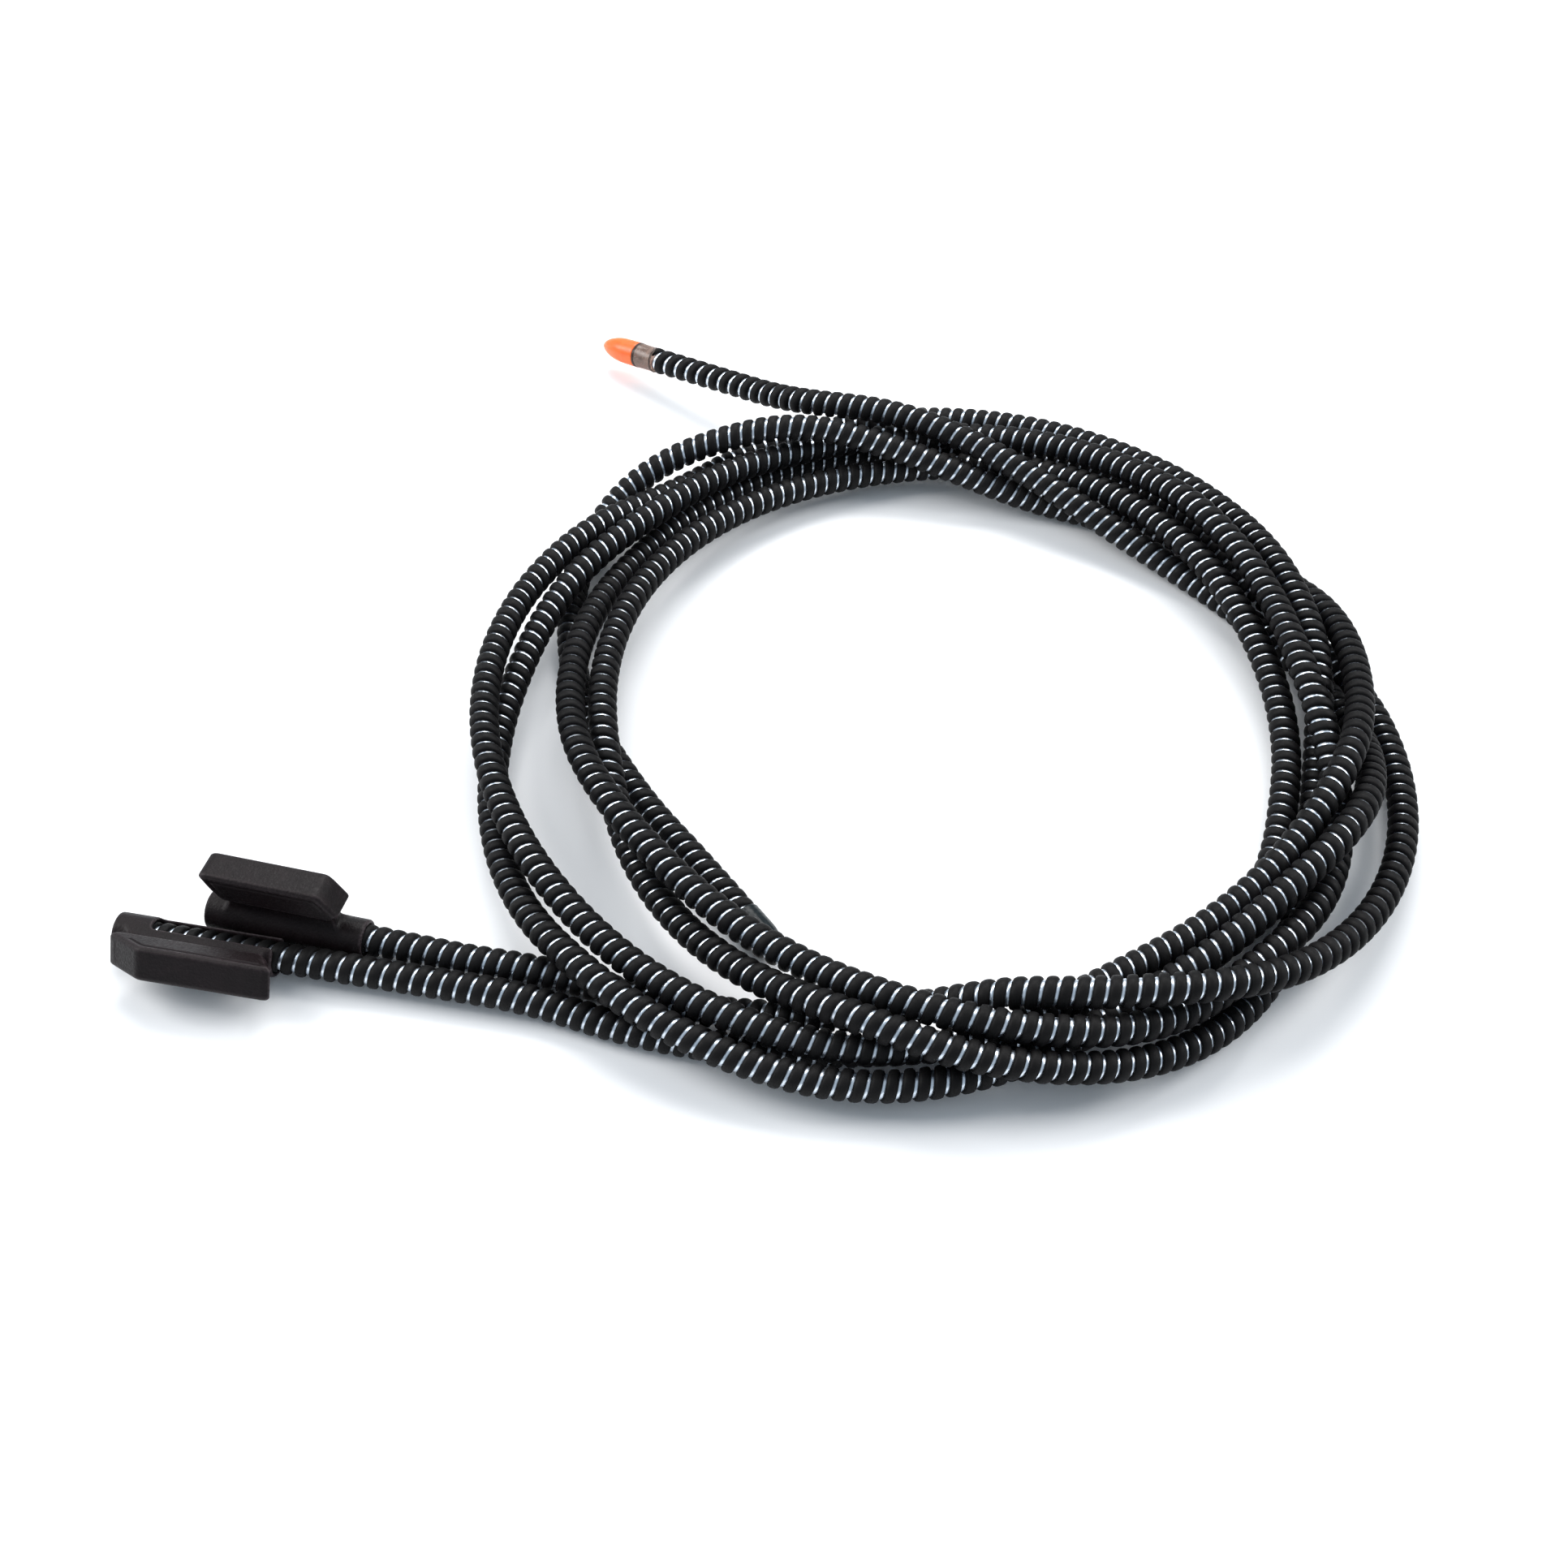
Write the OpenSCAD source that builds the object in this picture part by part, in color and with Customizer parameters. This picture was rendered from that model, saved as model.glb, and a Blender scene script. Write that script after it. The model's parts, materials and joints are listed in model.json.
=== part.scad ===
// Two wound cables with a bright wire core, laid in one coil about Z. The coil rests on the floor.
// Their straight tails leave side by side towards -X, each snapped into a moulded handle.
// The front cable, nearer -Y at the tails, ends in a black bullet tip inside the coil.
// The rear cable ends in an orange bullet tip outside it, on the +Y side.
// Millimetres, Z up. The origin is the middle of the whole object's box, on the floor.

/* [Cable] */
// Outside diameter of the wound cable
cable_d = 10; // [9.6:0.1:10]
// Diameter of the bright wire core inside the wound jacket
core_d = 5; // [3:0.1:5.4]

/* [Coil] */
// Closest distance that neighbouring turns are laid to, centre to centre
lay_gap = 10.9; // [10.6:0.1:11]
// Height of the cable's centre line where it rests on the floor
lay_floor = 5.1; // [5:0.1:5.4]

/* [Handle] */
// Length of the trough that holds the cable
trough_len = 52; // [48:1:54]
// Wall of the trough
trough_wall = 1.25; // [1:0.05:1.3]
// Width of the slot the cable snaps in through
slot_w = 8.4; // [7:0.1:9]
// Thickness of the grip bar
bar_t = 11; // [9:0.5:11]
// Depth of the grip bar, towards the cable
bar_depth = 10.3; // [8:0.1:11]
// Distance from the cable's centre line to the outer face of the bar
bar_reach = 21.4; // [20.4:0.2:24]
// Bevel at the two ends of the bar's outer face
bar_chamfer = 1.5; // [0.5:0.5:4]

/* [Tips] */
// Length of a bullet tip
tip_len = 18; // [14:0.5:22]
// Length of the clear sleeve behind the orange tip
sleeve_len = 6; // [4:0.5:9]

/* [Hidden] */

jacket_color = [0.12, 0.11, 0.11];
ferrule_color = [0.15, 0.13, 0.13];
handle_color = [0.2, 0.17, 0.17];

part_gap = 0.05; // between parts that meet
overcut = 1;     // how far cutters run past a face
cable_r = cable_d / 2;
core_r = core_d / 2;
jacket_r = cable_r - 0.02;
core_bore_r = core_r + 0.1;
coil_bore_r = core_r / cos(30) + 0.1; // at the corners of the coil jacket's bore
end_gap = cable_r + part_gap;         // from the end of a coil path to the root of its straight run
core_sides = 6;
jacket_sides = 8;

// Straight runs: where each leaves the coil, and its [bearing about Z, rise] in degrees
front_root = [-150, -118.2, 6.5];
front_dir = [169, 0];
rear_root = [-150, -107.6, 6.5];
rear_dir = [166.4, 0];
orange_root = [-58, 155, 19];
orange_dir = [145, -8];
black_dir = [306, 0];
front_tail_len = 107;
rear_tail_len = 76;
black_len = 30;
orange_len = 60;
tail_setback = 6; // the jacket stops this far short of the tail's length

// Handles: where each trough ends along its run, and its roll about the run
front_handle_end = front_tail_len;
rear_handle_end = 80;
front_roll = 32;
rear_roll = 5;
// Grip bar ends along the trough: [free end, root end], each [outer face, side next to the trough]
front_bar = [[38, 49], [-6, -2]];
rear_bar = [[51, 47], [11, 6]];

// Moves the coil's middle to its place in the object's frame
base_shift = [49.359, -19.753, -0.12];

// ---- Coil ----
start_angle = 217.5;
station_step = 7.5;
per_lap = 360 / station_step;
front_spare = 3; // stations at the black end that are eased but not built
front_lead = 15; // how far behind its root each path has its second point
rear_lead = 20;

// The lay of each cable: [angle round the coil, distance from its middle, height of centre line].
// The front cable runs from the front tail to the black tip, three laps.
lay_front = [
  [217.5,192,6.5], [225,174,5], [232,163,5], [238,153,5], [246,143,5], [258,141,5],
  [280,142,5], [300,145,5], [315,142,5], [325,132,5], [337,127,6], [350,124,9],
  [365,121,14], [380,118,15], [410,118,15], [440,117,12], [465,116,7], [480,115,8],
  [495,113,13], [510,111,16], [555,108,16], [565,111,13], [573,115,8], [582,121,5],
  [590,125,6], [598,129,11], [606,135,16], [615,141,17], [625,150,24], [635,159,24],
  [645,163,20], [655,164,8], [668,157,5], [680,149,5], [690,141,5], [705,136,7],
  [718,137,14], [740,138,16], [775,147,16], [800,146,15], [820,143,13], [838,140,7],
  [852,140,10], [865,142,15], [880,145,16], [900,148,15], [915,150,17], [930,153,16],
  [945,156,16], [955,156,16], [965,155,10], [977,151,7], [988,146,12], [997,138,15],
  [1006,130,11], [1016,126,5], [1025,126,5], [1035,129,10], [1045,134,15], [1055,139,16],
  [1070,144,16], [1090,146,15], [1100,144,8], [1110,137,5], [1127,122,5], [1140,112,5],
  [1152,106,9], [1162,105,14], [1175,111,20], [1188,127,25], [1198,141,24], [1208,150,17],
  [1218,152,8], [1230,145,5], [1242,130,5], [1252,121,5], [1262,112,5], [1270,105,5],
  [1278,100,5], [1287,97,5], [1297,97,5], [1305,98.5,5], [1320,102,5]];
// The rear cable runs from the rear tail to the orange tip, just under three laps.
lay_rear = [
  [217.5,176.5,6.5], [225,161,5], [233,147,5], [244,134,5], [257,130,6], [266,131,14],
  [275,135,22], [288,143,25], [300,153,18], [310,168,14], [320,180,5], [332,186,4],
  [345,171,4], [357,152,5], [370,138,5], [382,130,5], [397,130,9], [417,134,10],
  [440,139,6], [460,137,5], [480,130,5], [495,125,5], [510,121,11], [525,119,15],
  [545,118,17], [560,116,22], [570,113,24], [580,112,17], [590,113,15], [600,119,15],
  [612,127,17], [623,135,18], [632,144,25], [645,153,23], [655,156,10], [665,152,5],
  [680,149,5], [695,142,5], [708,133,10], [720,130,15], [750,129,16], [770,132,18],
  [795,135,16], [815,134,14], [838,134,14], [865,133,16], [880,134,15], [892,137,10],
  [905,142,5], [915,150,5], [925,158,5], [935,162,9], [945,163,15], [955,164,14],
  [965,163,6], [980,159,5], [992,156,7], [1002,149,14], [1011,141,13], [1019,136,7],
  [1028,138,7], [1037,142,12], [1048,147,15], [1065,150,15], [1074,147,12], [1083,138,5],
  [1095,123,5], [1110,114,5], [1125,107,6], [1137,105,11], [1148,107,17], [1160,113,25],
  [1170,121,27], [1178,132,27], [1185,145,25]];

// Reads a lay at even angles, giving [distance, height] stations
function stations(table) = let (
    distances = [for (row = table) [row[0], row[1]]],
    heights = [for (row = table) [row[0], row[2]]])
  [for (angle = [start_angle : station_step : table[len(table) - 1][0]])
    [lookup(angle, distances), lookup(angle, heights)]];

// Evens out the bends, leaving the two end points
function smoothed(path) = let (last = len(path) - 1)
  [for (i = [0:last])
    i == 0 || i == last ? path[i] : (path[i - 1] + 4 * path[i] + path[i + 1]) / 6];
function midpoints(path) = [for (i = [0:len(path) - 2]) (path[i] + path[i + 1]) / 2];
function total(vectors) = len(vectors) == 0 ? [0, 0] : [for (v = vectors) 1] * vectors;

// The points of both cables at the same angle as point i of cable c, on every lap
function neighbours(cables, c, i) =
  [for (k = [0:1]) for (lap = [-3:3]) let (j = i + per_lap * lap)
    if (!(k == c && lap == 0) && j >= 0 && j < len(cables[k])) cables[k][j]];
// Half the move that takes a point clear of its neighbours
function push(point, others) =
  total([for (other = others) let (away = point - other, dist = norm(away))
    if (dist < lay_gap && dist > 0) away / dist * (lay_gap - dist) / 2]);
function pushes(cables) =
  [for (c = [0:1]) [for (i = [0:len(cables[c]) - 1])
    push(cables[c][i], neighbours(cables, c, i))]];
function above_floor(point) = [point[0], max(point[1], lay_floor)];

// One pass of easing neighbouring turns apart, at the stations and half way between.
// fairing pulls each station towards the middle of the two beside it.
station_weight = 0.8;
middle_weight = 0.6;
function ease(cables, fairing) = let (
    fair_cables = [for (cable = cables) smoothed(cable)],
    at_station = pushes(fair_cables),
    at_middle = pushes([for (cable = fair_cables) midpoints(cable)]))
  [for (c = [0:1]) let (cable = cables[c], last = len(cable) - 1)
    [for (i = [0:last]) i <= 1 ? cable[i] : above_floor(
      cable[i] + station_weight * at_station[c][i] + middle_weight * at_middle[c][i - 1]
      + (i == last ? [0, 0] : middle_weight * at_middle[c][i]
        + fairing * ((cable[i - 1] + cable[i + 1]) / 2 - cable[i])))]];
function eased(cables, fairing, passes) =
  passes == 0 ? cables : eased(ease(cables, fairing), fairing, passes - 1);
// Both cables eased with less and less fairing. A function, so only nodes that need it run it.
function lay() = let (
    loose = eased([stations(lay_front), stations(lay_rear)], fairing = 0.3, passes = 25),
    closer = eased(loose, fairing = 0.1, passes = 35))
  eased(closer, fairing = 0.01, passes = 40);

// Stations as points in space, without the first one and the spare ones at the end
function placed(cable, spare) =
  [for (i = [1:len(cable) - 1 - spare]) let (angle = start_angle + station_step * i)
    [cable[i][0] * cos(angle), cable[i][0] * sin(angle), cable[i][1]]];
function heading(dir) = [cos(dir[0]) * cos(dir[1]), sin(dir[0]) * cos(dir[1]), sin(dir[1])];
function unit(v) = v / norm(v);

// Both paths start along the front tail's bearing
function front_path() = let (tail = heading(front_dir))
  smoothed(concat([front_root - tail * end_gap, front_root - tail * front_lead],
    placed(lay()[0], front_spare)));
function rear_path() = let (tail = heading(front_dir))
  smoothed(concat([rear_root - tail * end_gap, rear_root - tail * rear_lead],
    placed(lay()[1], 0), [orange_root - heading(orange_dir) * end_gap]));
function black_root() = let (path = front_path())
  path[len(path) - 1] + heading(black_dir) * end_gap;

// ---- Sweeps ----
function tangent(path, i) = unit(path[min(i + 1, len(path) - 1)] - path[max(i - 1, 0)]);
function ring(centre, along, r, sides) = let (side = unit(cross(along, [0, 0, 1])),
    up = cross(side, along))
  [for (k = [0:sides - 1]) let (a = 360 * (k + 0.5) / sides)
    centre + r * (cos(a) * side + sin(a) * up)];
function rings(path, r, sides) =
  [for (i = [0:len(path) - 1]) each ring(path[i], tangent(path, i), r, sides)];
// Triangles between successive rings, whose points start at index first
function skin(first, sides, count, inward) =
  [for (i = [0:count - 2]) for (k = [0:sides - 1])
    let (a = first + i * sides + k, b = first + i * sides + (k + 1) % sides,
      c = b + sides, d = a + sides)
    each inward ? [[a, b, c], [a, c, d]] : [[a, c, b], [a, d, c]]];

// A rod swept along a path
module rod(path, r, sides) {
  count = len(path);
  first_cap = [for (k = [0:sides - 1]) k];
  last_cap = [for (k = [0:sides - 1]) count * sides - 1 - k];
  polyhedron(rings(path, r, sides),
    concat(skin(0, sides, count, false), [first_cap], [last_cap]), convexity = 10);
}

// A tube swept along a path, with the same number of sides inside and out
module tube(path, outer_r, inner_r, sides) {
  count = len(path);
  inner = count * sides;      // index of the first inner point
  end = (count - 1) * sides;  // index of the last ring
  rims = [for (k = [0:sides - 1]) let (j = (k + 1) % sides)
    each [[k, j, inner + j], [k, inner + j, inner + k],
      [end + k, inner + end + j, end + j], [end + k, inner + end + k, inner + end + j]]];
  polyhedron(concat(rings(path, outer_r, sides), rings(path, inner_r, sides)),
    concat(skin(0, sides, count, false), skin(inner, sides, count, true), rims),
    convexity = 10);
}

module coil_core(path) color("silver") rod(path, core_r, core_sides);
module coil_jacket(path) color(jacket_color) tube(path, jacket_r, coil_bore_r, jacket_sides);

module coil_core_black_tip() coil_core(front_path());
module coil_jacket_black_tip() coil_jacket(front_path());
module coil_core_orange_tip() coil_core(rear_path());
module coil_jacket_orange_tip() coil_jacket(rear_path());

// ---- Straight runs ----
// Places a run that starts at root, +X along the run, and moves its children x along it
module run_at(root, dir, x = 0)
  translate(root) rotate([0, -dir[1], dir[0]]) translate([x, 0, 0]) children();
module front_run(x = 0) run_at(front_root, front_dir, x) children();
module rear_run(x = 0) run_at(rear_root, rear_dir, x) children();
module black_run(x = 0) run_at(black_root(), black_dir, x) children();
module orange_run(x = 0) run_at(orange_root, orange_dir, x) children();

// A cylinder along +X that starts at x
module x_cylinder(x, length, r, sides = 64)
  translate([x, 0, 0]) rotate([0, 90, 0]) cylinder(h = length, r = r, $fn = sides);

core_lead = 2.6;           // the core starts this far behind the root
bore_lead = core_r + 2;    // and its bore this far
shoulder_cut = 1.5;        // taken off the back of the round shoulder

// The stiff jacket of a straight run, with a round shoulder where it flexes
module end_jacket(length) color(jacket_color) difference() {
  union() {
    x_cylinder(0, length, jacket_r);
    sphere(jacket_r, $fn = 64);
  }
  x_cylinder(-bore_lead, bore_lead + length + overcut, core_bore_r);
  translate([-cable_r - overcut, -cable_r, -cable_r])
    cube([overcut + shoulder_cut, cable_d, cable_d]);
}
module end_core(length) color("silver") x_cylinder(-core_lead, core_lead + length, core_r);

// ---- Tails ----
front_jacket_len = front_tail_len - tail_setback;
rear_jacket_len = rear_tail_len - tail_setback;
ferrule_straight = 5;

// A plain solid ferrule with a domed end
module ferrule() color(ferrule_color) rotate([0, 90, 0]) rotate_extrude($fn = 64) intersection() {
  union() {
    square([jacket_r, ferrule_straight]);
    translate([0, ferrule_straight]) circle(jacket_r, $fn = 64);
  }
  square([cable_r, ferrule_straight + cable_r]);
}

module front_tail_core() front_run() end_core(front_jacket_len);
module front_tail_jacket() front_run() end_jacket(front_jacket_len);
module front_tail_ferrule() front_run(front_jacket_len + part_gap) ferrule();
module rear_tail_core() rear_run() end_core(rear_jacket_len);
module rear_tail_jacket() rear_run() end_jacket(rear_jacket_len);
module rear_tail_ferrule() rear_run(rear_jacket_len + part_gap) ferrule();

// ---- Handles ----
bore_r = cable_r + part_gap;
trough_r = bore_r + trough_wall;
hood_len = 12;         // closed part of the trough, without the slot
web_t = 5.2;
web_inset = 3;         // of the web from the bar's ends
web_overlap = 1;       // of the web into the bar, and past the bore's wall
bar_slab = 1.2;        // the bar is the hull of two slabs this thick
bar_inner_bevel = 2.5;
bar_outer_bevel = 1;   // depth of the chamfer on the outer face

// One moulded handle, +X towards the cable's free end, +Y out to the bar, slot open towards +Z
module handle(bar, hood_at_free_end) color(handle_color) {
  bar_y = bar_reach - bar_depth;
  free_outer = bar[0][0];
  free_inner = bar[0][1];
  root_outer = bar[1][0];
  root_inner = bar[1][1];
  web_x = max(root_inner, 0) + web_inset;
  slot_x = hood_at_free_end ? -overcut : hood_len;
  difference() {
    union() {
      x_cylinder(0, trough_len, trough_r, sides = 96);
      translate([web_x, bore_r - web_overlap, -web_t / 2])
        cube([free_inner - web_inset - web_x, bar_y - bore_r + 2 * web_overlap, web_t]);
      hull() for (z = [-1, 1]) translate([0, 0, z * (bar_t - bar_slab) / 2])
        linear_extrude(bar_slab, center = true) polygon([
          [root_inner, bar_y + bar_inner_bevel],
          [root_inner + bar_inner_bevel, bar_y],
          [free_inner - bar_inner_bevel, bar_y],
          [free_inner, bar_y + bar_inner_bevel],
          [free_outer, bar_reach - bar_outer_bevel],
          [free_outer - bar_chamfer, bar_reach],
          [root_outer + bar_chamfer, bar_reach],
          [root_outer, bar_reach - bar_outer_bevel]]);
    }
    x_cylinder(-overcut, trough_len + 2 * overcut, bore_r, sides = 96);
    translate([slot_x, -slot_w / 2, 0])
      cube([trough_len - hood_len + overcut, slot_w, trough_r + overcut]);
  }
}

module front_handle() front_run(front_handle_end - trough_len)
  rotate([front_roll, 0, 0]) handle(front_bar, hood_at_free_end = true);
module rear_handle() rear_run(rear_handle_end - trough_len)
  rotate([90 + rear_roll, 0, 0]) handle(rear_bar, hood_at_free_end = false);

// ---- Tips ----
crimp_len = 4;
crimp_r = cable_r - 0.5;
core_reach = crimp_len - 0.2;  // the core runs this far past the jacket, into the crimp
socket_depth = crimp_len + 0.1;
nose_stretch = 1.6;            // length of the nose over its radius
sleeve_trim = 3;               // taken off sleeve_len where the jacket reaches forward
sleeve_shown = sleeve_len - sleeve_trim;
orange_jacket_len = orange_len - sleeve_shown;

module crimp() color("silver") rotate([0, 90, 0]) rotate_extrude($fn = 64)
  polygon([[core_bore_r, 0], [crimp_r, 0], [crimp_r, crimp_len], [core_bore_r, crimp_len]]);

// A bullet with a rounded nose towards +X and a socket for the crimp
module tip() difference() {
  nose_len = nose_stretch * jacket_r;
  rotate([0, 90, 0]) rotate_extrude($fn = 64) polygon(concat([[0, 0], [jacket_r, 0]],
    [for (a = [0:9:90]) [jacket_r * cos(a), tip_len - nose_len + nose_len * sin(a)]]));
  x_cylinder(-overcut, overcut + socket_depth, crimp_r + part_gap);
}

module black_end_core() black_run() end_core(black_len + core_reach);
module black_end_jacket() black_run() end_jacket(black_len);
module black_end_crimp() black_run(black_len + part_gap) crimp();
module black_tip() color([0.05, 0.06, 0.07]) black_run(black_len + part_gap) tip();

module orange_end_core() orange_run() end_core(orange_len + core_reach);
module orange_end_jacket() orange_run() end_jacket(orange_jacket_len);
module orange_end_crimp() orange_run(orange_len + part_gap) crimp();
module orange_end_sleeve() color([0.75, 0.75, 0.78, 0.4])
  orange_run(orange_jacket_len + part_gap) difference() {
    x_cylinder(0, sleeve_shown - part_gap, jacket_r);
    x_cylinder(-overcut, sleeve_len, core_bore_r);
  }
module orange_tip() color([1, 0.42, 0.2]) orange_run(orange_len + part_gap) tip();

module on_base() translate(base_shift) children();

on_base() coil_core_black_tip();
on_base() coil_jacket_black_tip();
on_base() coil_core_orange_tip();
on_base() coil_jacket_orange_tip();
on_base() front_tail_core();
on_base() front_tail_jacket();
on_base() front_tail_ferrule();
on_base() front_handle();
on_base() rear_tail_core();
on_base() rear_tail_jacket();
on_base() rear_tail_ferrule();
on_base() rear_handle();
on_base() black_end_core();
on_base() black_end_jacket();
on_base() black_end_crimp();
on_base() black_tip();
on_base() orange_end_core();
on_base() orange_end_jacket();
on_base() orange_end_crimp();
on_base() orange_end_sleeve();
on_base() orange_tip();
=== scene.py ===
import json
import math

import bmesh
import bpy
import numpy as np
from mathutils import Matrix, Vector


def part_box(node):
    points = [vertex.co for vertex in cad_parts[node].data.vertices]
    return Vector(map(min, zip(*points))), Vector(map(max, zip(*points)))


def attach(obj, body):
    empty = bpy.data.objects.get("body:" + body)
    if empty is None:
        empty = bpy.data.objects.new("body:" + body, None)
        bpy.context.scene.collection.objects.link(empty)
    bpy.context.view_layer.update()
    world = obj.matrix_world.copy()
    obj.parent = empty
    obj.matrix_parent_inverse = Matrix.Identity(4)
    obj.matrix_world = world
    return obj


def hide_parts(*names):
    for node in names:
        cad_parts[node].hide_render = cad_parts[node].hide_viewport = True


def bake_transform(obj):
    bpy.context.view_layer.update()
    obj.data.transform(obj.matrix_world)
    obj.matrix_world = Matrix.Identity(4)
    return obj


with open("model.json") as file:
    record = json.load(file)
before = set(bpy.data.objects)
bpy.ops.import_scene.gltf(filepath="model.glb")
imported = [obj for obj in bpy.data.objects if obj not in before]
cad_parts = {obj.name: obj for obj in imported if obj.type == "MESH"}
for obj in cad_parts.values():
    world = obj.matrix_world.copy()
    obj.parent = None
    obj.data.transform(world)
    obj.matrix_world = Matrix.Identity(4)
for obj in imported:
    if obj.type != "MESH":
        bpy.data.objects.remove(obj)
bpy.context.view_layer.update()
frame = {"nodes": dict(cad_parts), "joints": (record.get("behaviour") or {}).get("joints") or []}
NODES = frame["nodes"]
JOINT = {joint["name"]: joint for joint in frame["joints"]}
MM = 0.001

# The winding, in millimetres.
PITCH = 4.65
RIDGE_R = 4.98
CROWN_R = 3.86      # top of the bright wire
SHELL_R = 4.96      # ferrules, tips and sleeve


# ---------------------------------------------------------------- mesh helpers

def new_mesh(name, verts, faces, mat):
    """A smooth mesh object in metres. Faces are an array of one size, or a list of any sizes."""
    mesh = bpy.data.meshes.new(name)
    verts = np.asarray(verts, np.float32)
    if isinstance(faces, np.ndarray):
        corners = faces.shape[1]
        mesh.vertices.add(len(verts))
        mesh.vertices.foreach_set("co", verts.ravel())
        mesh.loops.add(faces.size)
        mesh.loops.foreach_set("vertex_index", faces.ravel().astype(np.int32))
        mesh.polygons.add(len(faces))
        starts = (np.arange(len(faces)) * corners).astype(np.int32)
        mesh.polygons.foreach_set("loop_start", starts)
    else:
        mesh.from_pydata([tuple(map(float, v)) for v in verts], [], faces)
    mesh.update(calc_edges=True)
    mesh.validate()
    piece = bpy.data.objects.new(name, mesh)
    bpy.context.scene.collection.objects.link(piece)
    mesh.materials.append(mat)
    shade_smooth(mesh)
    return piece


def shade_smooth(mesh):
    mesh.polygons.foreach_set("use_smooth", [True] * len(mesh.polygons))


def tidy(piece, edit, sharp_degrees):
    """Apply edit to the mesh, turn its faces outward and keep edges over the angle crisp."""
    mesh = piece.data
    bm = bmesh.new()
    bm.from_mesh(mesh)
    edit(bm)
    bmesh.ops.recalc_face_normals(bm, faces=bm.faces)
    bm.to_mesh(mesh)
    bm.free()
    shade_smooth(mesh)
    mesh.set_sharp_from_angle(angle=math.radians(sharp_degrees))


def register(piece, body, node):
    """Attach the piece to its moving body and hide the CAD node it stands for."""
    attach(piece, body)
    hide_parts(node)


def merged(name):
    """A CAD node's vertices, merged where they coincide, and its edges."""
    mesh = NODES[name].data
    co = np.zeros(len(mesh.vertices) * 3)
    mesh.vertices.foreach_get("co", co)
    co = co.reshape(-1, 3)
    key = np.round(co * 1e6).astype(np.int64)
    _, first, inverse = np.unique(key, axis=0, return_index=True, return_inverse=True)
    inverse = inverse.reshape(-1)
    edges = np.zeros(len(mesh.edges) * 2, np.int64)
    mesh.edges.foreach_get("vertices", edges)
    edges = inverse[edges.reshape(-1, 2)]
    edges = edges[edges[:, 0] != edges[:, 1]]
    return co[first], np.unique(np.sort(edges, axis=1), axis=0)


def unit(v):
    v = np.asarray(v, float)
    return v / np.linalg.norm(v, axis=-1, keepdims=True)


def node_middle(node):
    low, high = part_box(node)
    return (np.array(low) + np.array(high)) / 2


def node_span(node, root, direction):
    """Where a CAD node starts and ends along a direction from root, in metres."""
    points, _ = merged(node)
    along = (points - root) @ direction
    return along.min(), along.max()


def seat(node, root, direction, back=0.0):
    """A CAD node's start point and its length in mm, the start moved back toward root by back mm."""
    low, high = node_span(node, root, direction)
    low -= back * MM
    return root + direction * low, (high - low) / MM


# ---------------------------------------------------------------- centre lines

# In metres.
RING_EDGE = 3.2 * MM    # edges shorter than this lie round a section, longer ones run along
LINE_STEP = 0.0004      # spacing of the centre line's points
ROW_GAP = 0.009         # spacing of the spline's knots on the straight ends


def section_centres(node, start):
    """The centres of a swept node's sections, in order from the end nearest start."""
    points, edges = merged(node)
    length = np.linalg.norm(points[edges[:, 0]] - points[edges[:, 1]], axis=1)
    parent = list(range(len(points)))

    def root(i):
        while parent[i] != i:
            parent[i] = parent[parent[i]]
            i = parent[i]
        return i

    for a, b in edges[length < RING_EDGE]:
        parent[root(a)] = root(b)
    label = np.array([root(i) for i in range(len(points))])
    ids, group = np.unique(label, return_inverse=True)
    group = group.reshape(-1)
    centre = np.zeros((len(ids), 3))
    np.add.at(centre, group, points)
    centre /= np.bincount(group)[:, None]
    near = {}
    for a, b in group[edges]:
        if a != b:
            near.setdefault(a, set()).add(b)
            near.setdefault(b, set()).add(a)
    ends = [g for g in near if len(near[g]) == 1]
    here = min(ends, key=lambda g: np.linalg.norm(centre[g] - start))
    order, before = [here], None
    while True:
        ahead = [g for g in near[here] if g != before]
        if not ahead:
            break
        before, here = here, ahead[0]
        order.append(here)
    return centre[order]


def arc_length(points):
    return np.concatenate([[0], np.cumsum(np.linalg.norm(np.diff(points, axis=0), axis=1))])


def natural_spline(knots, values, at):
    """Natural cubic spline through values at knots, evaluated at at."""
    count = len(knots)
    gap = np.diff(knots)
    matrix = np.zeros((count, count))
    right = np.zeros((count, values.shape[1]))
    matrix[0, 0] = matrix[-1, -1] = 1
    for i in range(1, count - 1):
        matrix[i, i - 1:i + 2] = gap[i - 1], 2 * (gap[i - 1] + gap[i]), gap[i]
        rise_after = (values[i + 1] - values[i]) / gap[i]
        rise_before = (values[i] - values[i - 1]) / gap[i - 1]
        right[i] = 6 * (rise_after - rise_before)
    bend = np.linalg.solve(matrix, right)
    k = np.clip(np.searchsorted(knots, at, side="right") - 1, 0, count - 2)
    to_next = (knots[k + 1] - at)[:, None]
    past = (at - knots[k])[:, None]
    h = gap[k][:, None]
    return ((bend[k] * to_next ** 3 + bend[k + 1] * past ** 3) / (6 * h)
            + (values[k] / h - bend[k] * h / 6) * to_next
            + (values[k + 1] / h - bend[k + 1] * h / 6) * past)


def untwisted_normals(points, tangents):
    """Normals carried along a line without twist, by double reflection."""
    normals = np.zeros_like(points)
    normals[0] = unit(np.cross(tangents[0], [0, 0, 1.0]))
    for i in range(len(points) - 1):
        step = points[i + 1] - points[i]
        scale = 2 / (step @ step)
        normal = normals[i] - scale * (step @ normals[i]) * step
        tangent = tangents[i] - scale * (step @ tangents[i]) * step
        turn = tangents[i + 1] - tangent
        square = turn @ turn
        if square > 1e-18:
            normal = normal - (2 / square) * (turn @ normal) * turn
        normals[i + 1] = normal
    return normals


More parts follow.
